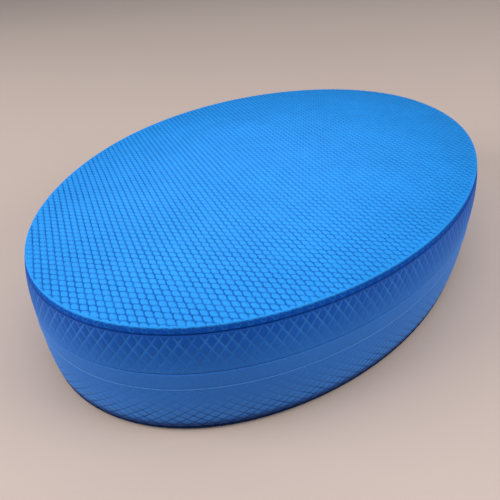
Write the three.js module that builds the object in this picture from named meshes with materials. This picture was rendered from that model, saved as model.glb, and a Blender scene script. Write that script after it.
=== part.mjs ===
// Oval foam balance pad. Millimetres, +Z up, origin at the centre of the underside.
//
// Five pieces of closed-cell foam are stacked and bonded face to face: a thin tread skin, a thick layer,
// a thin middle layer, a second thick layer and a second tread skin. A film of adhesive joins each pair.
// Most films stop a little short of the wall, which leaves a fine seam groove all round the pad. The lower
// core film comes out flush with the wall and shows as a bead.
import * as THREE from "three";

// Driving dimensions of the whole pad
const LENGTH = 316; // along X, at the widest height
const WIDTH = 218; // along Y, at the widest height
const THICKNESS = 60; // along Z

// Heights of the four bonded seams above the underside
const BOTTOM_SKIN_SEAM = 3.5;
const LOWER_SEAM = 29;
const UPPER_SEAM = 38;
const TOP_SKIN_SEAM = 56.5;

// The side wall: a barrel, widest at half height, that tucks in towards both treads
const RIM_TUCK = 3; // how far the top tread's rim stands in from the widest outline
const FOOT_TUCK = 2; // the same for the bottom tread
const BARREL_POWER = 3.3; // a high power keeps the middle of the wall nearly upright
const RIM_RADIUS = 0.5; // rounding between the top tread and its wall
const FOOT_RADIUS = 3; // rounding between the wall and the bottom tread

// Adhesive films
const FILM_THICKNESS = 0.5;
const FILM_INSET = 1.2; // from the wall to the film's edge
const BEAD_INSET = 0; // the same for the lower core film

// Fineness of the curved surfaces
const SEGMENTS_ROUND = 120;
const WALL_STEP = 4; // greatest height of one band of wall
const EDGE_STEPS = 4; // in a rounded edge

const TREAD_BLUE = 0x2b93ea;
const FOAM_BLUE = 0x2f6fc0;
const FILM_GREY = 0xb9c4cf;

// How far the wall stands in from the widest outline at a height z.
function wallTuck(z) {
  const fromMiddle = (2 * z) / THICKNESS - 1;
  const tuckAtEnd = fromMiddle > 0 ? RIM_TUCK : FOOT_TUCK;
  return tuckAtEnd * Math.abs(fromMiddle) ** BARREL_POWER;
}

// Points of the wall from one height up to another, each as { tuck, z }.
function wallPoints(low, high) {
  const steps = Math.max(1, Math.ceil((high - low) / WALL_STEP));
  return Array.from({ length: steps + 1 }, (_, i) => {
    const z = low + ((high - low) * i) / steps;
    return { tuck: wallTuck(z), z };
  });
}

// The rounded edge from the wall, which ends at height wallEnd, over to the flat face at faceZ.
function edgePoints(wallEnd, faceZ) {
  const radius = Math.abs(faceZ - wallEnd);
  return Array.from({ length: EDGE_STEPS }, (_, i) => {
    const angle = (Math.PI / 2) * ((i + 1) / EDGE_STEPS);
    return {
      tuck: wallTuck(wallEnd) + radius * (1 - Math.cos(angle)),
      z: wallEnd + (faceZ - wallEnd) * Math.sin(angle),
    };
  });
}

// A closed solid of oval plan. Its side follows the given points upwards, and flat faces close both ends.
// The side is turned as a circle of half the pad's length. Then each point is drawn in across the pad, so
// that it keeps the same tuck from the oval of LENGTH by WIDTH on the long sides as at the two ends.
function ovalSolid(side) {
  const radii = side.map(({ tuck, z }) => new THREE.Vector2(LENGTH / 2 - tuck, z));
  const floorCentre = new THREE.Vector2(0, side[0].z);
  const roofCentre = new THREE.Vector2(0, side[side.length - 1].z);
  const geometry = new THREE.LatheGeometry([floorCentre, ...radii, roofCentre], SEGMENTS_ROUND);
  geometry.rotateX(Math.PI / 2);

  const position = geometry.getAttribute("position");
  for (let i = 0; i < position.count; i++) {
    const radius = Math.hypot(position.getX(i), position.getY(i));
    if (radius > 0) {
      const narrowing = (radius - (LENGTH - WIDTH) / 2) / radius;
      position.setY(i, position.getY(i) * narrowing);
    }
  }
  geometry.computeVertexNormals();
  return geometry;
}

function foamLayer(name, low, high) {
  const material = new THREE.MeshStandardMaterial({ color: FOAM_BLUE, roughness: 0.75, metalness: 0 });
  const mesh = new THREE.Mesh(ovalSolid(wallPoints(low, high)), material);
  mesh.name = name;
  return mesh;
}

function treadSkin(name, side) {
  const material = new THREE.MeshStandardMaterial({ color: TREAD_BLUE, roughness: 0.6, metalness: 0 });
  const mesh = new THREE.Mesh(ovalSolid(side), material);
  mesh.name = name;
  return mesh;
}

function bottomTreadSkin() {
  const foot = edgePoints(FOOT_RADIUS, 0).reverse();
  const wall = wallPoints(FOOT_RADIUS, BOTTOM_SKIN_SEAM - FILM_THICKNESS / 2);
  return treadSkin("bottom_tread_skin", [...foot, ...wall]);
}

function topTreadSkin() {
  const wall = wallPoints(TOP_SKIN_SEAM + FILM_THICKNESS / 2, THICKNESS - RIM_RADIUS);
  const rim = edgePoints(THICKNESS - RIM_RADIUS, THICKNESS);
  return treadSkin("top_tread_skin", [...wall, ...rim]);
}

// A flat film centred on a seam.
function adhesiveFilm(name, seam, inset) {
  const tuck = wallTuck(seam) + inset;
  const side = [
    { tuck, z: seam - FILM_THICKNESS / 2 },
    { tuck, z: seam + FILM_THICKNESS / 2 },
  ];
  const material = new THREE.MeshStandardMaterial({ color: FILM_GREY, roughness: 0.5, metalness: 0 });
  const mesh = new THREE.Mesh(ovalSolid(side), material);
  mesh.name = name;
  return mesh;
}

const pad = new THREE.Group();
const halfFilm = FILM_THICKNESS / 2;

pad.add(
  bottomTreadSkin(),
  adhesiveFilm("bottom_skin_bond", BOTTOM_SKIN_SEAM, FILM_INSET),
  foamLayer("lower_foam_layer", BOTTOM_SKIN_SEAM + halfFilm, LOWER_SEAM - halfFilm),
  adhesiveFilm("lower_core_bond", LOWER_SEAM, BEAD_INSET),
  foamLayer("middle_foam_layer", LOWER_SEAM + halfFilm, UPPER_SEAM - halfFilm),
  adhesiveFilm("upper_core_bond", UPPER_SEAM, FILM_INSET),
  foamLayer("upper_foam_layer", UPPER_SEAM + halfFilm, TOP_SKIN_SEAM - halfFilm),
  adhesiveFilm("top_skin_bond", TOP_SKIN_SEAM, FILM_INSET),
  topTreadSkin(),
);

export default pad;
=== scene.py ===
"""Looks of an oval foam balance pad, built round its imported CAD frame. Blender 4.5, metres.

Both treads and both side bands are real relief: a lattice of raised diamonds is laid out flat, cut to the
oval or to the height of the band, and then wrapped onto the pad. Every piece is a closed mesh.
"""

import math

import bpy
import numpy as np
from mathutils import Matrix, Vector


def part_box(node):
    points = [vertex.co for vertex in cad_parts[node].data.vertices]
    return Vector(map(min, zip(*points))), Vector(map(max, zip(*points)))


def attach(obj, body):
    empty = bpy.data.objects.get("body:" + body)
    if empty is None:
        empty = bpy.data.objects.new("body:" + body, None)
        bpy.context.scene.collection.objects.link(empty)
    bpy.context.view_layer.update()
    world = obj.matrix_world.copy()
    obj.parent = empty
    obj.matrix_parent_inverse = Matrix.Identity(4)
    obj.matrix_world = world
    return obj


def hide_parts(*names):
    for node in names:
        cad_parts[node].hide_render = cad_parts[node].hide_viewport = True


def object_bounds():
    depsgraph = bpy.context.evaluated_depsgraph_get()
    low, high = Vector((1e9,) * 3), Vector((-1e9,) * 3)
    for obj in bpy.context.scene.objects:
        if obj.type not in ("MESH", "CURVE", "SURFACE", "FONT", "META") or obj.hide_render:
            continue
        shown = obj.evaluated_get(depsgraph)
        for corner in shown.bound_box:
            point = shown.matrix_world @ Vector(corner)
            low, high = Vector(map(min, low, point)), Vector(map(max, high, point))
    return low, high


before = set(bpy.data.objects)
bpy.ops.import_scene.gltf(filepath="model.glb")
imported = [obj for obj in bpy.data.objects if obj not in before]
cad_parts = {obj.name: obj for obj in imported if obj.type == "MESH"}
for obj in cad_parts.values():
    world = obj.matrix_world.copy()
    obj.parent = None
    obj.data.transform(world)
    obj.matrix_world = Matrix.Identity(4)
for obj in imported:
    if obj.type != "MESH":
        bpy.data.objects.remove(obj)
cad_low, cad_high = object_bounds()

MM = 0.001
HALF_LENGTH = (cad_high.x - cad_low.x) / 2
HALF_WIDTH = (cad_high.y - cad_low.y) / 2
THICKNESS = cad_high.z - cad_low.z

# The barrel wall and the rounded edges of the two treads, as in the CAD
RIM_TUCK = 3 * MM
FOOT_TUCK = 2 * MM
BARREL_POWER = 3.3
RIM_RADIUS = 0.5 * MM
FOOT_RADIUS = 3 * MM

# Diamonds of the tread: along the pad and across it
TREAD_DIAMOND = (3.57 * MM, 6.44 * MM)
TREAD_TWIST = math.radians(-1.3)  # the sheet was cut slightly off the line of its diamonds
TREAD_GROOVE_DEPTH = 0.65 * MM
TREAD_GROOVE_SHARE = 0.1  # half a groove's width, as a share of the spacing between grooves
TREAD_SHARP_CUT = 0.25  # how far a diamond's sharp corners are cut back, as a share of that spacing
TREAD_BLUNT_CUT = 0.1  # the same for its blunt corners
RIM_FADE = 1 * MM  # the grooves grow shallow over this distance from the rim
RIM_RELIEF = 0.4  # share of the groove depth left at the rim
LIP_MARGIN = 0.2 * MM  # between the net on the lip and the rounded rim above it

# Diamonds of the two side nets: a whole number round the pad, and the height of each
UPPER_NET = (171, 7.1 * MM)
LOWER_NET = (141, 4.8 * MM)
NET_GROOVE_DEPTH = 0.28 * MM
NET_GROOVE_SHARE = 0.11
NET_CORNER_CUT = 0.1
NET_FAINTEST = 0.35  # share of the groove depth left where a net has faded most
UPPER_NET_FULL = 5 * MM  # the upper net keeps its full depth for this far below the top tread skin
LOWER_NET_FULL = 3 * MM  # the lower net keeps its full depth for this far above the bottom tread skin
LOWER_NET_FAINT = 4 * MM  # the lower net is at its faintest for this far below the middle band

# Profile of one diamond
CROWN_SHARE = 0.78  # width of the flat crown over the width of the shoulder round it
SHOULDER_DEPTH = 0.2  # in groove depths

# Edges, films and fineness
CREASE_ROUNDING = 0.5 * MM  # at the seams under the two tread skins
SEAM_ROUNDING = 0.25 * MM  # at the seams of the middle band
EDGE_STEPS = 2  # in a fine rounded edge
FOOT_STEPS = 5  # in the wide rounded edge of the foot
FILM_INSET = 1.2 * MM  # from the wall to the edge of a hidden film
FILM_CLEARANCE = 0.01 * MM  # keeps a film's faces apart from the foam's
BEAD_HEIGHT = 0.2 * MM
SMOOTH_SEGMENTS = 720  # round a smooth wall
SMOOTH_ROWS = 8  # rings of points up the wall of the middle layer
CAP_SEGMENTS = 96  # round the coarse inner ring of a flat face
CAP_MARGIN = 3 * MM  # from the edge of a flat face to that ring
LENGTH_SAMPLES = 20001  # round the oval, to measure the length along it
SNAP = 0.12 * MM  # a lattice corner this close to a cut line moves onto it
SAME = 1e-4 * MM  # lengths this close are the same
SAME_DECIMALS = 7  # of a metre: points that agree this far are one point
TINY = 1e-9  # keeps a division by a length away from zero


# ---------------------------------------------------------------- the oval and its wall


def wobble(turn):
    """How far the outline wanders outwards from a true oval, as it does on a pad cut by hand."""
    egg = 1.03 * MM * np.sin(3 * turn - 2.63)
    squareness = 0.32 * MM * np.sin(4 * turn + 2.17)
    ripple = 0.07 * MM * np.sin(7 * turn + 2.1)
    return egg + squareness + ripple


def outwards(turn, tuck):
    """Unit vectors that point straight out of the oval drawn in by tuck."""
    nx = np.cos(turn) / (HALF_LENGTH - tuck)
    ny = np.sin(turn) / (HALF_WIDTH - tuck)
    return np.stack([nx, ny], axis=-1) / np.hypot(nx, ny)[:, None]


def oval_point(turn, tuck, z, relief=0.0):
    """Points on the oval drawn in by tuck, moved outwards by relief."""
    oval = np.stack([(HALF_LENGTH - tuck) * np.cos(turn), (HALF_WIDTH - tuck) * np.sin(turn)], axis=-1)
    flat = oval + outwards(turn, tuck) * (relief + wobble(turn))[:, None]
    return np.column_stack([flat, z + 0 * turn])


def turns_by_length():
    """Turn angles at even steps of length round the widest oval, to place the net evenly."""
    turn = np.linspace(0, 2 * math.pi, LENGTH_SAMPLES)
    step = np.hypot(HALF_LENGTH * np.sin(turn), HALF_WIDTH * np.cos(turn))
    length = np.concatenate([[0], np.cumsum((step[1:] + step[:-1]) / 2)])
    return length / length[-1], turn


LENGTH_SHARE, TURN_AT = turns_by_length()


def turn_of(share):
    """The turn angle of a point at a share of the way round the pad, by length."""
    whole = np.floor(share)
    return np.interp(share - whole, LENGTH_SHARE, TURN_AT)


# ---------------------------------------------------------------- a sheet of diamonds


def diamond_template(groove, sharp_cut, blunt_cut):
    """One diamond as a unit square of lattice coordinates: its points, their heights in groove depths,
    and its faces. Points 0 to 3 are the groove crossings, 4 to 11 the shoulder and 12 to 19 the rim of
    the flat crown. The square's corners 1 and 3 become the ends of the diamond's upright diagonal, where
    points 20 and 21 keep the groove deep right up to the cut corners."""
    far = 1 - groove
    corners = [(0, 0), (1, 0), (1, 1), (0, 1)]
    shoulder = [
        (groove + blunt_cut, groove),
        (far - sharp_cut, groove),
        (far, groove + sharp_cut),
        (far, far - blunt_cut),
        (far - blunt_cut, far),
        (groove + sharp_cut, far),
        (groove, far - sharp_cut),
        (groove, groove + blunt_cut),
    ]
    crown = [(0.5 + (p - 0.5) * CROWN_SHARE, 0.5 + (q - 0.5) * CROWN_SHARE) for p, q in shoulder]
    pits = [(1 - sharp_cut / 2, sharp_cut / 2), (sharp_cut / 2, 1 - sharp_cut / 2)]
    points = np.array(corners + shoulder + crown + pits)
    heights = np.array([-1.0] * 4 + [-SHOULDER_DEPTH] * 8 + [0.0] * 8 + [-1.0] * 2)
    flanks = [(0, 1, 5, 4), (1, 2, 7, 6), (2, 3, 9, 8), (3, 0, 11, 10)]
    flanks += [(0, 4, 11), (2, 8, 7)]
    for corner, pit, before, after in ((1, 20, 5, 6), (3, 21, 9, 10)):
        flanks += [(corner, pit, before), (pit, after, before), (corner, after, pit)]
    ring = [(4 + k, 4 + (k + 1) % 8, 12 + (k + 1) % 8, 12 + k) for k in range(8)]
    crown_face = tuple(range(12, 20))
    return points, heights, flanks + ring + [crown_face]


def diamond_sheet(size, low, high, keep, groove, sharp_cut, blunt_cut):
    """A flat sheet of diamonds whose middles lie between two corners, low and high, and where
    keep(x, y) is true. Returns points, heights in groove depths and faces, seen from above."""
    width, height = size
    columns = np.arange(math.ceil(2 * low[0] / width), math.ceil(2 * high[0] / width))
    rows = np.arange(math.ceil(2 * low[1] / height), math.ceil(2 * high[1] / height))
    column, row = (grid.ravel() for grid in np.meshgrid(columns, rows, indexing="ij"))
    chosen = ((column + row) % 2 == 1) & keep(column * width / 2, row * height / 2)
    column, row = column[chosen], row[chosen]
    cells = np.stack([(column - 1 + row) // 2, (column - 1 - row) // 2], axis=1)
    template, levels, template_faces = diamond_template(groove, sharp_cut, blunt_cut)

    crossings = {}
    lattice, heights, faces = [], [], []
    for cell in cells:
        index = []
        for corner in template[:4]:
            key = (int(cell[0] + corner[0]), int(cell[1] + corner[1]))
            if key not in crossings:
                crossings[key] = len(lattice)
                lattice.append(key)
                heights.append(levels[0])
            index.append(crossings[key])
        for point, level in zip(template[4:], levels[4:]):
            index.append(len(lattice))
            lattice.append((cell[0] + point[0], cell[1] + point[1]))
            heights.append(level)
        faces += [tuple(index[k] for k in reversed(face)) for face in template_faces]
    lattice = np.array(lattice, float)
    points = np.stack(
        [(lattice[:, 0] + lattice[:, 1]) * width / 2, (lattice[:, 0] - lattice[:, 1]) * height / 2],
        axis=1,
    )
    return points, np.array(heights), faces


def cut_sheet(points, heights, faces, distance):
    """Keeps the part of a flat sheet where distance is negative. distance(points) gives a signed distance
    and its gradient. The kept region is convex. Returns the cut sheet, and a mask of its points that lie
    on the cut."""
    far, gradient = distance(points)
    near = np.abs(far) < SNAP
    points = points.copy()
    points[near] -= far[near, None] * gradient[near]
    far = np.where(near, 0.0, far)

    points, heights, far = list(points), list(heights), list(far)
    crossing, kept = {}, []
    for face in faces:
        sides = [far[k] for k in face]
        if max(sides) <= 0:
            if min(sides) < 0:
                kept.append(face)
            continue
        if min(sides) >= 0:
            continue
        polygon = []
        for k, start in enumerate(face):
            end = face[(k + 1) % len(face)]
            if far[start] <= 0:
                polygon.append(start)
            if far[start] * far[end] < 0:
                key = (min(start, end), max(start, end))
                if key not in crossing:
                    share = far[start] / (far[start] - far[end])
                    crossing[key] = len(points)
                    points.append(points[start] + share * (points[end] - points[start]))
                    heights.append(heights[start] + share * (heights[end] - heights[start]))
                    far.append(0.0)
                polygon.append(crossing[key])
        if len(polygon) > 2:
            kept.append(tuple(polygon))

    used = sorted({k for face in kept for k in face})
    place = {old: new for new, old in enumerate(used)}
    faces = [tuple(place[k] for k in face) for face in kept]
    return (
        np.array([points[k] for k in used]),
        np.array([heights[k] for k in used]),
        faces,
        np.array([far[k] == 0.0 for k in used]),
    )


# ---------------------------------------------------------------- closed shells


class Shell:
    """A mesh under construction: points, faces, and how deep in a groove each point lies, from 0 to 1.
    It is built in the upper half of the pad, with a wall that stands in by end_tuck at the tread."""

    def __init__(self, end_tuck):
        self.end_tuck = end_tuck
        self.points = np.zeros((0, 3))
        self.groove = np.zeros(0)
        self.faces = []

    def tuck(self, z):
        """How far the wall stands in from the widest oval at height z."""
        return self.end_tuck * np.abs(2 * z / THICKNESS - 1) ** BARREL_POWER

    def add(self, points, groove=0.0, faces=()):
        """Adds points and faces numbered among them. Returns the new points' numbers in the shell."""
        first = len(self.points)
        self.points = np.concatenate([self.points, points])
        self.groove = np.concatenate([self.groove, np.broadcast_to(groove, len(points))])
        self.faces += [tuple(first + k for k in face) for face in faces]
        return np.arange(first, first + len(points))

    def bridge(self, lower, upper):
        """Quads between two rings of equal length, facing out when both run anticlockwise."""
        count = len(lower)
        for k in range(count):
            after = (k + 1) % count
            self.faces.append((lower[k], lower[after], upper[after], upper[k]))

    def zip(self, lower, lower_turns, upper, upper_turns):
        """Triangles between two rings of unlike spacing, each ordered by turn angle."""
        low_turns = np.append(lower_turns, lower_turns[0] + 2 * math.pi)
        high_turns = np.append(upper_turns, upper_turns[0] + 2 * math.pi)
        i = j = 0
        while i < len(lower) or j < len(upper):
            low, high = lower[i % len(lower)], upper[j % len(upper)]
            next_low = low_turns[i + 1] if i < len(lower) else math.inf
            next_high = high_turns[j + 1] if j < len(upper) else math.inf
            if next_low <= next_high:
                i += 1
                self.faces.append((low, lower[i % len(lower)], high))
            else:
                j += 1
                self.faces.append((low, upper[j % len(upper)], high))

    def cap(self, ring, turns, tuck, z, facing_up):
        """Closes a ring with a flat face: a coarse inner ring, then a fan."""
        count = CAP_SEGMENTS
        inner_turns = (np.arange(count) + 0.5) * 2 * math.pi / count
        inner = self.add(oval_point(inner_turns, tuck, z))
        centre = self.add(np.array([[0, 0, z]]))[0]
        if facing_up:
            self.zip(ring, turns, inner, inner_turns)
            self.faces += [(inner[k], inner[(k + 1) % count], centre) for k in range(count)]
        else:
            self.zip(inner, inner_turns, ring, turns)
            self.faces += [(inner[(k + 1) % count], inner[k], centre) for k in range(count)]

    def turn_over(self):
        """Mirrors the shell into the other half of the pad's height."""
        self.points = self.points * [1, 1, -1] + [0, 0, THICKNESS]
        self.faces = [tuple(reversed(face)) for face in self.faces]

    def piece(self, name, material):
        """Makes the Blender object, smooth shaded, with the groove depth as an attribute."""
        mesh = bpy.data.meshes.new(name)
        mesh.from_pydata(self.points.tolist(), [], self.faces)
        mesh.shade_smooth()
        depth = mesh.attributes.new("groove", "FLOAT", "POINT")
        depth.data.foreach_set("value", self.groove.astype(np.float32))
        mesh.materials.append(material)
        made = bpy.data.objects.new(name, mesh)
        bpy.context.scene.collection.objects.link(made)
        return made


def ring_order(turns):
    """The order of a ring's points by turn angle, and those angles."""
    turns = np.mod(turns, 2 * math.pi)
    order = np.argsort(turns)
    return order, turns[order]


# ---------------------------------------------------------------- the relief of a side band


def net_band(shell, net, low, high, strength):
    """Adds a band of diamond net to the wall between two heights. strength(z) scales the grooves.
    Returns the rings of points at its lower and upper ends, each as (numbers, turn angles)."""
    count, height = net

    def everywhere(x, _):
        return np.full(len(x), True)

    def above(points):
        return points[:, 1] - high, np.tile([0.0, 1.0], (len(points), 1))

    def below(points):
        return low - points[:, 1], np.tile([0.0, -1.0], (len(points), 1))

    corners = ((0, low - height), (count, high + height))
    cuts = (NET_CORNER_CUT, NET_CORNER_CUT)
    sheet = diamond_sheet((1, height), *corners, everywhere, NET_GROOVE_SHARE, *cuts)
    sheet = cut_sheet(*sheet, above)[:3]
    points, heights, faces = cut_sheet(*sheet, below)[:3]
    z = points[:, 1]
    depth = strength(z)
    turn = turn_of(points[:, 0] / count)
    placed = oval_point(turn, shell.tuck(z), z, heights * depth * NET_GROOVE_DEPTH)

    rounded = np.round(placed, SAME_DECIMALS)
    _, first, place = np.unique(rounded, axis=0, return_index=True, return_inverse=True)
    place = place.ravel()
    faces = [tuple(place[k] for k in face) for face in faces]
    turn, z = turn[first], z[first]
    numbers = shell.add(placed[first], (-heights * depth)[first], faces)

    rings = []
    for end in (low, high):
        chosen = np.flatnonzero(np.abs(z - end) < SAME)
        order, turns = ring_order(turn[chosen])
        rings.append((numbers[chosen[order]], turns))
    return rings


def rounded_end(shell, ring, turns, z, upwards, radius, inset=0.0):
    """Rounds a wall over into a flat end and closes it. ring is where the rounding starts, at height z."""
    sign = 1 if upwards else -1
    tuck = shell.tuck(z) + inset
    relief = shell.points[ring] - oval_point(turns, tuck, z)
    for k in range(1, EDGE_STEPS + 1):
        angle = math.pi / 2 * k / EDGE_STEPS
        height = z + sign * radius * math.sin(angle)
        left = 1 - k / EDGE_STEPS  # share of the wall's relief that is left on this ring
        points = oval_point(turns, tuck + radius * (1 - math.cos(angle)), height)
        points[:, :2] += relief[:, :2] * left
        new = shell.add(points, shell.groove[ring] * left)
        if upwards:
            shell.bridge(ring, new)
        else:
            shell.bridge(new, ring)
        ring = new
    shell.cap(ring, turns, tuck + radius + CAP_MARGIN, z + sign * radius, upwards)


# ---------------------------------------------------------------- the pieces


def fade(z, full, none, least):
    """1 at height full, falling smoothly to least at height none."""
    share = np.clip((z - none) / (full - none), 0, 1)
    return least + (1 - least) * share * share * (3 - 2 * share)


def tread_top(shell, edge_radius, steps):
    """Adds the diamonds of a tread and its rounded edge. Returns the ring where the wall starts."""
    wall_end = THICKNESS - edge_radius
    flat_tuck = shell.tuck(wall_end) + edge_radius
    semi = np.array([HALF_LENGTH - flat_tuck, HALF_WIDTH - flat_tuck])

    def distance(points):
        scaled = points / semi
        size = np.maximum(np.linalg.norm(scaled, axis=1), TINY)
        gradient = scaled / semi / size[:, None]
        slope = np.maximum(np.linalg.norm(gradient, axis=1), TINY)
        return (size - 1) / slope, gradient / slope[:, None]

    def twisted(x, y):
        cosine, sine = math.cos(TREAD_TWIST), math.sin(TREAD_TWIST)
        return np.stack([x * cosine - y * sine, x * sine + y * cosine], axis=1)

    def keep(x, y):
        return distance(twisted(x, y))[0] < max(TREAD_DIAMOND)

    reach = semi + 2 * max(TREAD_DIAMOND)
    cuts = (TREAD_SHARP_CUT, TREAD_BLUNT_CUT)
    points, *sheet = diamond_sheet(TREAD_DIAMOND, -reach, reach, keep, TREAD_GROOVE_SHARE, *cuts)
    points, heights, faces, on_cut = cut_sheet(twisted(*points.T), *sheet, distance)
    inside = np.clip(-distance(points)[0] / RIM_FADE, 0, 1)
    heights = heights * (RIM_RELIEF + (1 - RIM_RELIEF) * inside)
    turn = np.arctan2(points[:, 1] / semi[1], points[:, 0] / semi[0])
    share = np.linalg.norm(points / semi, axis=1)
    pull = wobble(turn) * share**3  # only the outer tiles follow the wobble of the outline
    points = points + outwards(turn, flat_tuck) * pull[:, None]
    z = THICKNESS + heights * TREAD_GROOVE_DEPTH
    numbers = shell.add(np.column_stack([points, z]), -heights, faces)

    chosen = np.flatnonzero(on_cut)
    order, rim_turns = ring_order(turn[chosen])
    ring = rim = numbers[chosen[order]]
    sunk = shell.points[rim, 2] - THICKNESS
    for k in range(1, steps + 1):
        angle = math.pi / 2 * k / steps
        tuck = flat_tuck - edge_radius * math.sin(angle)
        height = wall_end + edge_radius * math.cos(angle)
        left = (1 - k / steps) ** 1.5  # share of the grooves' depth that is left on this ring
        points = oval_point(rim_turns, tuck, height, sunk * left * math.sin(angle))
        points[:, 2] += sunk * left * math.cos(angle)
        new = shell.add(points, shell.groove[rim] * left)
        shell.bridge(new, ring)
        ring = new
    return ring, rim_turns


def top_skin(shell, low, high):
    """The tread skin that is stood on: diamonds, a sharp rim and a netted lip."""
    ring, rim_turns = tread_top(shell, RIM_RADIUS, EDGE_STEPS)
    lip_low = low + CREASE_ROUNDING
    lip_high = high - RIM_RADIUS - LIP_MARGIN
    (foot, foot_turns), (head, head_turns) = net_band(shell, UPPER_NET, lip_low, lip_high, np.ones_like)
    shell.zip(head, head_turns, ring, rim_turns)
    rounded_end(shell, foot, foot_turns, lip_low, False, CREASE_ROUNDING)


def bottom_skin(shell, low, high):
    """The tread skin on the floor: diamonds and a wide rounded edge right up to its seam."""
    ring, turns = tread_top(shell, FOOT_RADIUS, FOOT_STEPS)
    wall_end = high - FOOT_RADIUS
    rounded_end(shell, ring, turns, wall_end, False, wall_end - low)


def netted_layer(shell, low, high, net, strength):
    """A thick foam layer with a netted wall. Its upper end lies under a tread skin."""
    start, end = low + SEAM_ROUNDING, high - CREASE_ROUNDING
    (foot, foot_turns), (head, head_turns) = net_band(shell, net, start, end, strength)
    rounded_end(shell, foot, foot_turns, start, False, SEAM_ROUNDING)
    rounded_end(shell, head, head_turns, end, True, CREASE_ROUNDING)


def upper_layer(shell, low, high):
    def strength(z):
        return fade(z, high - UPPER_NET_FULL, low, NET_FAINTEST)

    netted_layer(shell, low, high, UPPER_NET, strength)


def lower_layer(shell, low, high):
    def strength(z):
        return fade(z, high - LOWER_NET_FULL, low + LOWER_NET_FAINT, NET_FAINTEST)

    netted_layer(shell, low, high, LOWER_NET, strength)


def smooth_sheet(shell, low, high, inset, radius, rows):
    """A layer or a film with a smooth wall, which stands in from the barrel by inset."""
    turns = (np.arange(SMOOTH_SEGMENTS) + 0.25) * 2 * math.pi / SMOOTH_SEGMENTS
    rings = []
    for z in np.linspace(low + radius, high - radius, rows):
        rings.append(shell.add(oval_point(turns, shell.tuck(z) + inset, z)))
    for lower, upper in zip(rings, rings[1:]):
        shell.bridge(lower, upper)
    rounded_end(shell, rings[0], turns, low + radius, False, radius, inset)
    rounded_end(shell, rings[-1], turns, high - radius, True, radius, inset)


def middle_layer(shell, low, high):
    smooth_sheet(shell, low, high, 0.0, SEAM_ROUNDING, SMOOTH_ROWS)


def hidden_film(shell, low, high):
    """A film that stops short of the wall."""
    smooth_sheet(shell, low, high, FILM_INSET, (high - low) / 2 - FILM_CLEARANCE, 2)


def beaded_film(shell, low, high):
    """The film under the middle layer, squeezed out into a fine bead."""
    smooth_sheet(shell, low, high, -BEAD_HEIGHT, (high - low) / 2 - FILM_CLEARANCE, 2)


# ---------------------------------------------------------------- materials

LIT_SPOT = -45 * MM  # middle of a painted pool of light on the foam, along X from the pad's middle
SHEEN_PALER = 0.985  # saturation of the foam there: a painted sheen that makes it paler

# Fineness of the patterns, per metre
CLOUDS = 28  # in the foam
# patches in the painted shade and highlight of the grooves
GROOVE_PATCHES = 120
GRAIN = 1300
PORES = 1500
RIPPLE = 420  # in the adhesive
FLOOR_TONE = 1.4

# Colours, linear red, green and blue
TILE_BLUE = (0.018, 0.248, 0.69)
# Painted shade in the grooves between the tiles
TILE_GROOVE_SHADE = (0.001, 0.085, 0.36)
# The same foam as the tiles, painted darker as shade on the side wall
SHADED_WALL_BLUE = (0.018, 0.122, 0.43)
# Painted shade where the foot rounds under towards the floor
FOOT_SHADE_NAVY = (0.001, 0.008, 0.04)
SHEEN_BLUE = (0.45, 0.87, 1.0, 1.0)


class Nodes:
    """Short names for building a node tree."""

    def __init__(self, name):
        self.material = bpy.data.materials.new(name)
        self.material.use_nodes = True
        self.tree = self.material.node_tree
        self.shader = self.tree.nodes["Principled BSDF"]

    def new(self, kind, **settings):
        node = self.tree.nodes.new(kind)
        for key, value in settings.items():
            if key in node.inputs:
                node.inputs[key].default_value = value
            else:
                setattr(node, key, value)
        return node

    def link(self, source, target):
        self.tree.links.new(source, target)

    def noise(self, place, scale, detail=2.0, roughness=0.5):
        node = self.new("ShaderNodeTexNoise")
        node.inputs["Scale"].default_value = scale
        node.inputs["Detail"].default_value = detail
        node.inputs["Roughness"].default_value = roughness
        self.link(place, node.inputs["Vector"])
        return node.outputs["Fac"]

    def remap(self, value, low, high, to_low, to_high):
        node = self.new("ShaderNodeMapRange", clamp=True)
        for key, number in zip(("From Min", "From Max", "To Min", "To Max"), (low, high, to_low, to_high)):
            node.inputs[key].default_value = number
        self.link(value, node.inputs["Value"])
        return node.outputs["Result"]

    def mix(self, factor, low, high):
        node = self.new("ShaderNodeMix", data_type="RGBA")
        self.link(factor, node.inputs["Factor"])
        # Sockets 6 and 7 take the two colours, and output 2 gives the mixed one
        for socket, colour in ((node.inputs[6], low), (node.inputs[7], high)):
            if isinstance(colour, tuple):
                socket.default_value = (*colour, 1.0)
            else:
                self.link(colour, socket)
        return node.outputs[2]

    def maths(self, operation, first, second):
        node = self.new("ShaderNodeMath", operation=operation)
        for socket, value in zip(node.inputs, (first, second)):
            if isinstance(value, (int, float)):
                socket.default_value = value
            else:
                self.link(value, socket)
        return node.outputs[0]


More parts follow.
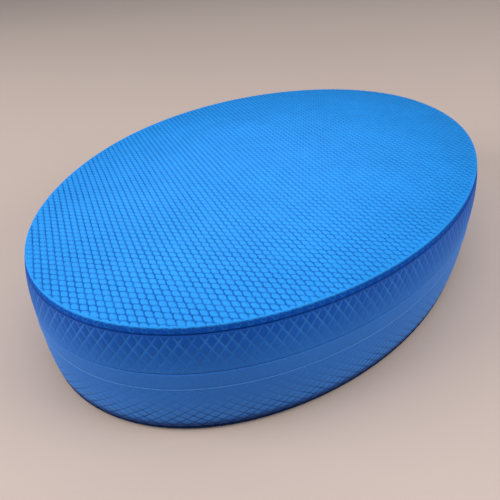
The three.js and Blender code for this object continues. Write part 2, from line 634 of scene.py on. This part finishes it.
def foam_material(name, looks, roughness, specular, sheen=0.0, far_shade=1.0, far_marks=1.0):
    """Closed-cell foam: a satin skin of tiny cells with a cloudy colour. Each look is a height above or
    below the middle of the pad, a colour for faces and one for the grooves in them. The groove colour is
    painted shade, and on the upper net and the tread's lip a painted highlight. The foam passes smoothly
    from each look to the next. Its colour is brightest round a spot on the pad, a painted pool of light
    with a painted sheen that makes it paler there, and falls to far_shade, painted shade, at the end of
    the pad farthest from there. Towards that end, the grooves keep only the share far_marks of their
    colour."""
    n = Nodes(name)
    place = n.new("ShaderNodeTexCoord").outputs["Object"]
    clouds = n.noise(place, CLOUDS, detail=3)
    groove_patchiness = n.noise(place, GROOVE_PATCHES, detail=2)
    grain = n.noise(place, GRAIN, detail=3, roughness=0.6)
    pores = n.new("ShaderNodeTexVoronoi", feature="F1", Scale=PORES)
    n.link(place, pores.inputs["Vector"])

    axes = n.new("ShaderNodeSeparateXYZ")
    n.link(place, axes.inputs["Vector"])
    from_middle = n.maths("ABSOLUTE", n.maths("SUBTRACT", axes.outputs["Z"], THICKNESS / 2), 0.0)
    start, face, groove = looks[0]
    for end, next_face, next_groove in looks[1:]:
        share = n.remap(from_middle, start, end, 0.0, 1.0)
        face = n.mix(share, face, next_face)
        groove = n.mix(share, groove, next_groove)
        start = end

    # Grooves: painted shade, and on the upper net and the tread's lip a painted highlight, laid on in
    # patches and less towards the far end
    depth = n.new("ShaderNodeAttribute", attribute_name="groove").outputs["Fac"]
    groove_paint = n.maths("MULTIPLY", n.remap(depth, 0.15, 0.9, 0.0, 1.0), n.remap(groove_patchiness, 0.35, 0.6, 0.5, 1.0))
    along = n.maths("DIVIDE", n.maths("SUBTRACT", axes.outputs["X"], LIT_SPOT), HALF_LENGTH)
    groove_paint = n.maths("MULTIPLY", groove_paint, n.remap(along, -0.1, 0.65, 1.0, far_marks))
    colour = n.mix(groove_paint, face, groove)

    # Clouds and grain, a painted pool of light that falls off away from a spot on the pad, and a painted
    # sheen that makes the foam paler round that spot
    mottle = n.maths("ADD", n.remap(clouds, 0.3, 0.7, 0.86, 0.96), n.remap(grain, 0.35, 0.65, 0.0, 0.16))
    across = n.maths("DIVIDE", axes.outputs["Y"], HALF_WIDTH)
    from_spot = n.maths("ADD", n.maths("MULTIPLY", along, along), n.maths("MULTIPLY", across, across))
    painted_falloff = n.remap(from_spot, 0.1, 1.6, 1.0, far_shade)
    shade = n.new("ShaderNodeHueSaturation")
    n.link(n.maths("MULTIPLY", mottle, painted_falloff), shade.inputs["Value"])
    n.link(n.remap(from_spot, 0.1, 0.9, SHEEN_PALER, 1.0), shade.inputs["Saturation"])
    n.link(colour, shade.inputs["Color"])
    n.link(shade.outputs["Color"], n.shader.inputs["Base Color"])

    gloss = n.remap(grain, 0.3, 0.7, roughness - 0.06, roughness + 0.08)
    n.link(gloss, n.shader.inputs["Roughness"])
    n.shader.inputs["Specular IOR Level"].default_value = specular
    n.shader.inputs["Sheen Weight"].default_value = sheen
    n.shader.inputs["Sheen Roughness"].default_value = 0.35
    n.shader.inputs["Sheen Tint"].default_value = SHEEN_BLUE

    height = n.maths("ADD", grain, n.maths("MULTIPLY", pores.outputs["Distance"], 0.6))
    bump = n.new("ShaderNodeBump", Strength=0.3, Distance=0.12 * MM)
    n.link(height, bump.inputs["Height"])
    n.link(bump.outputs["Normal"], n.shader.inputs["Normal"])
    return n.material


def tread_foam():
    """Bright tiles with painted shade in their grooves, and a lip painted dark as shade under the rim,
    with painted highlights in its grooves.
    """
    looks = [
        # The lip: painted shade on its faces, and painted highlights in its grooves
        (28.9 * MM, (0.001, 0.062, 0.38), (0.01, 0.14, 0.52)),
        (29.7 * MM, TILE_BLUE, TILE_GROOVE_SHADE),
    ]
    return foam_material("tread_foam", looks, roughness=0.65, specular=0.03, far_shade=0.66)


def foot_foam():
    """The foot of the wall, painted nearly black as shade where it rounds under, with bright tiles below
    whose grooves hold painted shade.
    """
    looks = [
        (26.7 * MM, (0.001, 0.015, 0.085), (0.001, 0.015, 0.085)),
        (27.5 * MM, FOOT_SHADE_NAVY, FOOT_SHADE_NAVY),
        (29.3 * MM, FOOT_SHADE_NAVY, (0.001, 0.08, 0.38)),
        (29.8 * MM, TILE_BLUE, TILE_GROOVE_SHADE),
    ]
    return foam_material("foot_foam", looks, roughness=0.65, specular=0.03, far_shade=0.66)


def upper_foam():
    """Wall blue with painted shade that deepens upwards under the lip, under a net whose grooves hold
    painted highlights.
    """
    looks = [
        # Faces painted darker upwards as shade under the lip; lighter grooves as painted highlights
        (8 * MM, (0.012, 0.115, 0.42), (0.016, 0.135, 0.47)),
        (23 * MM, (0.001, 0.062, 0.31), (0.022, 0.145, 0.47)),
        (25.6 * MM, (0.001, 0.056, 0.29), (0.02, 0.135, 0.45)),
        (26.1 * MM, (0.001, 0.048, 0.25), (0.001, 0.048, 0.25)),
    ]
    return wall_foam("upper_foam", looks)


def lower_foam():
    """Wall blue with painted shade in the net's grooves, painted light bounced from the floor that makes
    the faces lighter lower down, and painted shade that darkens it towards the foot.
    """
    looks = [
        (6 * MM, SHADED_WALL_BLUE, (0.01, 0.088, 0.35)),
        # Lighter faces here: painted light bounced from the floor; darker grooves: painted shade
        (20.8 * MM, (0.026, 0.143, 0.455), (0.001, 0.03, 0.16)),
        (23 * MM, (0.012, 0.095, 0.35), (0.002, 0.036, 0.17)),
        # Painted shade darkening towards the foot
        (24.8 * MM, (0.001, 0.025, 0.135), (0.001, 0.02, 0.11)),
    ]
    return wall_foam("lower_foam", looks)


def band_foam():
    """The plain blue of the middle band, painted darker than the tiles as shade on the side wall."""
    return wall_foam("band_foam", [(0, SHADED_WALL_BLUE, SHADED_WALL_BLUE)])


def wall_foam(name, looks):
    """Foam with the faint sheen of the side wall."""
    return foam_material(name, looks, roughness=0.55, specular=0.1, sheen=0.07, far_marks=0.3)


def adhesive():
    """Set hot-melt film: milky blue and a little glossy, with an uneven surface."""
    n = Nodes("adhesive")
    place = n.new("ShaderNodeTexCoord").outputs["Object"]
    ripple = n.noise(place, RIPPLE, detail=2)
    n.link(n.mix(ripple, (0.025, 0.13, 0.4), (0.04, 0.165, 0.46)), n.shader.inputs["Base Color"])
    n.link(n.remap(ripple, 0.3, 0.7, 0.4, 0.6), n.shader.inputs["Roughness"])
    n.shader.inputs["Specular IOR Level"].default_value = 0.2
    bump = n.new("ShaderNodeBump", Strength=0.4, Distance=0.2 * MM)
    n.link(ripple, bump.inputs["Height"])
    n.link(bump.outputs["Normal"], n.shader.inputs["Normal"])
    return n.material


def floor_material():
    """Plain, pale and matt, with a faint change of tone."""
    n = Nodes("pale_floor")
    place = n.new("ShaderNodeTexCoord").outputs["Object"]
    tone = n.noise(place, FLOOR_TONE, detail=3)
    n.link(n.mix(tone, (0.415, 0.335, 0.3), (0.445, 0.365, 0.325)), n.shader.inputs["Base Color"])
    n.shader.inputs["Roughness"].default_value = 0.85
    n.shader.inputs["Specular IOR Level"].default_value = 0.2
    return n.material


# ---------------------------------------------------------------- building the pad


def span(node):
    """The lowest and highest z of a CAD node."""
    low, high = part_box(node)
    return low.z, high.z


def add_piece(node, material, build):
    """Builds the piece that stands in for a CAD node. One in the lower half is built turned over."""
    low, high = span(node)
    below = low + high < THICKNESS
    shell = Shell(FOOT_TUCK if below else RIM_TUCK)
    if below:
        build(shell, THICKNESS - high, THICKNESS - low)
        shell.turn_over()
    else:
        build(shell, low, high)
    piece = shell.piece(node + "_look", material)
    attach(piece, "root")
    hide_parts(node)


def build_pad():
    add_piece("top_tread_skin", tread_foam(), top_skin)
    add_piece("upper_foam_layer", upper_foam(), upper_layer)
    add_piece("middle_foam_layer", band_foam(), middle_layer)
    add_piece("lower_foam_layer", lower_foam(), lower_layer)
    add_piece("bottom_tread_skin", foot_foam(), bottom_skin)
    glue = adhesive()
    add_piece("lower_core_bond", glue, beaded_film)
    for node in ("top_skin_bond", "upper_core_bond", "bottom_skin_bond"):
        add_piece(node, glue, hidden_film)


# ---------------------------------------------------------------- floor, light and camera

CAMERA_AZIMUTH = -49.47
CAMERA_ELEVATION = 34.85
CAMERA_ROLL = -3.36
CAMERA_DISTANCE = 204.9 * MM
AIM = (-92.0 * MM, -31.2 * MM)
FOCAL_SHARE = 0.9337  # focal length over image width
LENS_SHIFT = (0.0640, -0.0009)

# Soft round lamps, aimed at the pad: name, degrees round from the camera and up from the floor,
# distance and width in metres, watts and colour
LAMPS = (
    ("key", -10, 70, 0.5, 0.45, 1.1, (1.0, 0.985, 0.97)),
    ("left", -80, 25, 1.5, 1.0, 21, (1.0, 0.98, 0.95)),
    ("right", 75, 25, 1.5, 1.0, 15, (1.0, 0.98, 0.96)),
    ("back", 160, 60, 1.5, 1.2, 3, (0.97, 0.98, 1.0)),
)
SKY_COLOUR = (0.92, 0.95, 1.0, 1.0)
SKY_STRENGTH = 0.5
FLOOR_REACH = 4.0  # metres from the pad to each edge of the floor


def direction(azimuth, elevation):
    """Unit vector from the pad towards a viewer: azimuth 0 is -Y, 90 is +X."""
    a, e = math.radians(azimuth), math.radians(elevation)
    return Vector((math.sin(a) * math.cos(e), -math.cos(a) * math.cos(e), math.sin(e)))


def add_camera():
    data = bpy.data.cameras.new("camera")
    data.sensor_width = 36
    data.lens = FOCAL_SHARE * data.sensor_width
    data.shift_x, data.shift_y = LENS_SHIFT
    data.clip_start = 0.01
    camera = bpy.data.objects.new("camera", data)
    bpy.context.scene.collection.objects.link(camera)
    back = direction(CAMERA_AZIMUTH, CAMERA_ELEVATION)
    camera.location = Vector((*AIM, cad_high.z)) + back * CAMERA_DISTANCE
    turn = back.to_track_quat("Z", "Y").to_matrix().to_4x4()
    roll = Matrix.Rotation(math.radians(CAMERA_ROLL), 4, "Z")
    camera.rotation_mode = "QUATERNION"
    camera.rotation_quaternion = (turn @ roll).to_quaternion()
    bpy.context.scene.camera = camera


def add_area_light(name, azimuth, elevation, distance, size, watts, colour):
    data = bpy.data.lights.new(name, "AREA")
    data.shape = "DISK"
    data.size = size
    data.energy = watts
    data.color = colour
    lamp = bpy.data.objects.new(name, data)
    bpy.context.scene.collection.objects.link(lamp)
    away = direction(azimuth, elevation)
    lamp.location = away * distance
    lamp.rotation_mode = "QUATERNION"
    lamp.rotation_quaternion = away.to_track_quat("Z", "Y")


def add_lights():
    world = bpy.data.worlds.new("studio")
    world.use_nodes = True
    background = world.node_tree.nodes["Background"]
    background.inputs["Color"].default_value = SKY_COLOUR
    background.inputs["Strength"].default_value = SKY_STRENGTH
    bpy.context.scene.world = world
    for name, round_from_camera, *setting in LAMPS:
        add_area_light(name, CAMERA_AZIMUTH + round_from_camera, *setting)


def add_floor():
    mesh = bpy.data.meshes.new("floor")
    ways = [(-1, -1), (1, -1), (1, 1), (-1, 1)]
    corners = [(x * FLOOR_REACH, y * FLOOR_REACH, cad_low.z) for x, y in ways]
    mesh.from_pydata(corners, [], [(0, 1, 2, 3)])
    mesh.materials.append(floor_material())
    floor = bpy.data.objects.new("floor", mesh)
    bpy.context.scene.collection.objects.link(floor)


build_pad()
add_floor()
add_lights()
add_camera()
bpy.context.scene.view_settings.view_transform = "Standard"
